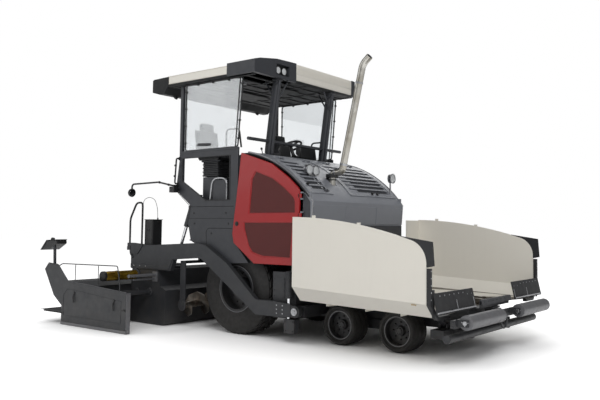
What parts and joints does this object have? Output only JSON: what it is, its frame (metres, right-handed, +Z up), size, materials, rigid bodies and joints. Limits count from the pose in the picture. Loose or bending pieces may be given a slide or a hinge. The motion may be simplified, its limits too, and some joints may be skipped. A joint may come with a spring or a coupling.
{
  "type": "wheeled asphalt paver",
  "caption": "Wheeled asphalt paver with a front hopper, folding hopper wings, open operator's platform under a roof, and a towed extending screed.",
  "frame": {"origin": "on the ground, at the middle of the overall length and width", "axes": "+X forward to the hopper, +Y to the machine's left, +Z up"},
  "size_m": [7.21, 4.4, 4.1741],
  "materials": {
    "frame_paint": "satin",
    "panel_grey": "satin",
    "hood_grey": "satin",
    "red_paint": "gloss",
    "cream_paint": "gloss",
    "black_trim": "matt",
    "worn_steel": "worn",
    "cylinder_paint": "satin",
    "chrome": "polished",
    "stainless": "satin",
    "cast_iron": "as cast",
    "rim_paint": "satin",
    "tyre_rubber": "matt",
    "tinted_glass": "polished",
    "seat_vinyl": "matt",
    "lamp": "polished"
  },
  "bodies": {
    "machine": {"chassis": "frame_paint", "front_bogies": "frame_paint", "conveyor": "worn_steel", "body_frame": "frame_paint", "engine_block": "cast_iron", "platform": "frame_paint", "hood_shell": "hood_grey", "side_bays": "panel_grey", "roof_canopy": "cream_paint", "roof_housing": "black_trim", "roof_posts": "black_trim", "side_glass": "tinted_glass", "console": "panel_grey", "seats": "seat_vinyl", "exhaust_stack": "stainless", "work_lamps": "lamp", "mirror_arms": "black_trim", "auger_frame": "frame_paint"},
    "steering_wheel": {"steering_wheel": "black_trim"},
    "push_beam": {"push_beam": "frame_paint"},
    "screed": {"tow_arms": "frame_paint", "screed_main": "frame_paint"},
    "hood_lid_right": {"hood_lid_right": "hood_grey"},
    "hood_lid_left": {"hood_lid_left": "hood_grey"},
    "side_door_right": {"side_door_right": "red_paint"},
    "side_door_left": {"side_door_left": "red_paint"},
    "wing_barrel_right": {"wing_barrel_right": "cylinder_paint"},
    "wing_barrel_left": {"wing_barrel_left": "cylinder_paint"},
    "wing_rod_right": {"wing_rod_right": "chrome"},
    "wing_rod_left": {"wing_rod_left": "chrome"},
    "push_roller_right": {"push_roller_right": "worn_steel"},
    "push_roller_left": {"push_roller_left": "worn_steel"},
    "auger_right": {"auger_right": "worn_steel"},
    "auger_left": {"auger_left": "worn_steel"},
    "lift_barrel_right": {"lift_barrel_right": "cylinder_paint"},
    "lift_barrel_left": {"lift_barrel_left": "cylinder_paint"},
    "lift_rod_right": {"lift_rod_right": "chrome"},
    "lift_rod_left": {"lift_rod_left": "chrome"},
    "wing_right": {"wing_right": "cream_paint", "wing_trim_right": "black_trim"},
    "screed_extension_right": {"screed_extension_right": "frame_paint"},
    "wheel_right_rear": {"tyre_right_rear": "tyre_rubber", "rim_right_rear": "rim_paint"},
    "knuckle_right_fore": {"knuckle_right_fore": "frame_paint"},
    "wheel_right_fore": {"tyre_right_fore": "tyre_rubber", "rim_right_fore": "rim_paint"},
    "knuckle_right_aft": {"knuckle_right_aft": "frame_paint"},
    "wheel_right_aft": {"tyre_right_aft": "tyre_rubber", "rim_right_aft": "rim_paint"},
    "wing_left": {"wing_left": "cream_paint", "wing_trim_left": "black_trim"},
    "screed_extension_left": {"screed_extension_left": "frame_paint"},
    "wheel_left_rear": {"tyre_left_rear": "tyre_rubber", "rim_left_rear": "rim_paint"},
    "knuckle_left_fore": {"knuckle_left_fore": "frame_paint"},
    "wheel_left_fore": {"tyre_left_fore": "tyre_rubber", "rim_left_fore": "rim_paint"},
    "knuckle_left_aft": {"knuckle_left_aft": "frame_paint"},
    "wheel_left_aft": {"tyre_left_aft": "tyre_rubber", "rim_left_aft": "rim_paint"}
  },
  "joints": [
    {"name": "spin_right_rear", "type": "hinge", "parent": "machine", "child": "wheel_right_rear", "pos_m": [-0.245, -0.94, 0.665], "axis": [0, 1, 0], "continuous": true},
    {"name": "steer_right_fore", "type": "hinge", "parent": "machine", "child": "knuckle_right_fore", "pos_m": [2.395, -0.66, 0.27], "axis": [0, 0, 1], "range_deg": [-22, 22]},
    {"name": "spin_right_fore", "type": "hinge", "parent": "knuckle_right_fore", "child": "wheel_right_fore", "pos_m": [2.395, -0.77, 0.27], "axis": [0, 1, 0], "continuous": true},
    {"name": "steer_right_aft", "type": "hinge", "parent": "machine", "child": "knuckle_right_aft", "pos_m": [1.495, -0.66, 0.27], "axis": [0, 0, 1], "range_deg": [-14.5, 14.5]},
    {"name": "spin_right_aft", "type": "hinge", "parent": "knuckle_right_aft", "child": "wheel_right_aft", "pos_m": [1.495, -0.77, 0.27], "axis": [0, 1, 0], "continuous": true},
    {"name": "spin_left_rear", "type": "hinge", "parent": "machine", "child": "wheel_left_rear", "pos_m": [-0.245, 0.94, 0.665], "axis": [0, 1, 0], "continuous": true},
    {"name": "steer_left_fore", "type": "hinge", "parent": "machine", "child": "knuckle_left_fore", "pos_m": [2.395, 0.66, 0.27], "axis": [0, 0, 1], "range_deg": [-22, 22]},
    {"name": "spin_left_fore", "type": "hinge", "parent": "knuckle_left_fore", "child": "wheel_left_fore", "pos_m": [2.395, 0.77, 0.27], "axis": [0, 1, 0], "continuous": true},
    {"name": "steer_left_aft", "type": "hinge", "parent": "machine", "child": "knuckle_left_aft", "pos_m": [1.495, 0.66, 0.27], "axis": [0, 0, 1], "range_deg": [-14.5, 14.5]},
    {"name": "spin_left_aft", "type": "hinge", "parent": "knuckle_left_aft", "child": "wheel_left_aft", "pos_m": [1.495, 0.77, 0.27], "axis": [0, 1, 0], "continuous": true},
    {"name": "steering_wheel_turn", "type": "hinge", "parent": "machine", "child": "steering_wheel", "pos_m": [-0.545, 0.45, 2.95], "axis": [-0.3987, 0, 0.9171], "range_deg": [-360, 360]},
    {"name": "door_right", "type": "hinge", "parent": "machine", "child": "side_door_right", "pos_m": [1.055, -1.232, 1.8], "axis": [0, 0, 1], "range_deg": [0, 90]},
    {"name": "door_left", "type": "hinge", "parent": "machine", "child": "side_door_left", "pos_m": [1.055, 1.232, 1.8], "axis": [0, 0, -1], "range_deg": [0, 90]},
    {"name": "lid_right", "type": "hinge", "parent": "machine", "child": "hood_lid_right", "pos_m": [0.372, -0.57, 2.61167], "axis": [0, -1, 0], "range_deg": [0, 60]},
    {"name": "lid_left", "type": "hinge", "parent": "machine", "child": "hood_lid_left", "pos_m": [0.372, 0.57, 2.61167], "axis": [0, -1, 0], "range_deg": [0, 60]},
    {"name": "fold_right", "type": "hinge", "parent": "machine", "child": "wing_right", "pos_m": [2.25, -0.6, 0.61], "axis": [-1, 0, 0], "range_deg": [0, 50]},
    {"name": "wing_barrel_turn_right", "type": "hinge", "parent": "machine", "child": "wing_barrel_right", "pos_m": [2.92, -0.64, 0.37], "axis": [-1, 0, 0], "range_deg": [0, 29.74]},
    {"name": "wing_rod_slide_right", "type": "slide", "parent": "wing_barrel_right", "child": "wing_rod_right", "axis": [0, -0.808, 0.5892], "range_m": [0, 0.16533]},
    {"name": "fold_left", "type": "hinge", "parent": "machine", "child": "wing_left", "pos_m": [2.25, 0.6, 0.61], "axis": [1, 0, 0], "range_deg": [0, 50]},
    {"name": "wing_barrel_turn_left", "type": "hinge", "parent": "machine", "child": "wing_barrel_left", "pos_m": [2.92, 0.64, 0.37], "axis": [1, 0, 0], "range_deg": [0, 29.74]},
    {"name": "wing_rod_slide_left", "type": "slide", "parent": "wing_barrel_left", "child": "wing_rod_left", "axis": [0, 0.808, 0.5892], "range_m": [0, 0.16533]},
    {"name": "push_beam_swing", "type": "hinge", "parent": "machine", "child": "push_beam", "pos_m": [3.295, 0, 0.505], "axis": [0, 0, 1], "range_deg": [-5, 5]},
    {"name": "roller_right", "type": "hinge", "parent": "push_beam", "child": "push_roller_right", "pos_m": [3.52, -0.785, 0.515], "axis": [0, 1, 0], "continuous": true},
    {"name": "roller_left", "type": "hinge", "parent": "push_beam", "child": "push_roller_left", "pos_m": [3.52, 0.785, 0.515], "axis": [0, 1, 0], "continuous": true},
    {"name": "screed_lift", "type": "hinge", "parent": "machine", "child": "screed", "pos_m": [1.005, 0, 0.44], "axis": [0, 1, 0], "range_deg": [0, 8]},
    {"name": "lift_barrel_turn_right", "type": "hinge", "parent": "machine", "child": "lift_barrel_right", "pos_m": [-1.245, -1.075, 2.05], "axis": [0, 1, 0], "range_deg": [0, 1.83]},
    {"name": "lift_rod_slide_right", "type": "slide", "parent": "lift_barrel_right", "child": "lift_rod_right", "axis": [0.3624, 0, 0.932], "range_m": [0, 0.3775]},
    {"name": "extend_right", "type": "slide", "parent": "screed", "child": "screed_extension_right", "axis": [0, 1, 0], "range_m": [0, 0.85]},
    {"name": "auger_turn_right", "type": "hinge", "parent": "machine", "child": "auger_right", "pos_m": [-1.355, -0.62, 0.35], "axis": [0, 1, 0], "continuous": true},
    {"name": "lift_barrel_turn_left", "type": "hinge", "parent": "machine", "child": "lift_barrel_left", "pos_m": [-1.245, 1.075, 2.05], "axis": [0, 1, 0], "range_deg": [0, 1.83]},
    {"name": "lift_rod_slide_left", "type": "slide", "parent": "lift_barrel_left", "child": "lift_rod_left", "axis": [0.3624, 0, 0.932], "range_m": [0, 0.3775]},
    {"name": "extend_left", "type": "slide", "parent": "screed", "child": "screed_extension_left", "axis": [0, -1, 0], "range_m": [0, 0.85]},
    {"name": "auger_turn_left", "type": "hinge", "parent": "machine", "child": "auger_left", "pos_m": [-1.355, 0.62, 0.35], "axis": [0, 1, 0], "continuous": true}
  ],
  "couplings": [
    {"joint": "steer_right_aft", "follows": "steer_right_fore", "ratio": 0.65},
    {"joint": "steer_left_fore", "follows": "steer_right_fore", "ratio": 1},
    {"joint": "steer_left_aft", "follows": "steer_right_fore", "ratio": 0.65},
    {"joint": "steering_wheel_turn", "follows": "steer_right_fore", "ratio": 16},
    {"joint": "wing_barrel_turn_right", "follows": "fold_right", "ratio": 0.58884},
    {"joint": "wing_rod_slide_right", "follows": "fold_right", "m_per_rad": 0.18717},
    {"joint": "wing_barrel_turn_left", "follows": "fold_left", "ratio": 0.58884},
    {"joint": "wing_rod_slide_left", "follows": "fold_left", "m_per_rad": 0.18717},
    {"joint": "lift_barrel_turn_right", "follows": "screed_lift", "ratio": 0.19122},
    {"joint": "lift_rod_slide_right", "follows": "screed_lift", "m_per_rad": 2.6894},
    {"joint": "lift_barrel_turn_left", "follows": "screed_lift", "ratio": 0.19122},
    {"joint": "lift_rod_slide_left", "follows": "screed_lift", "m_per_rad": 2.6894}
  ]
}
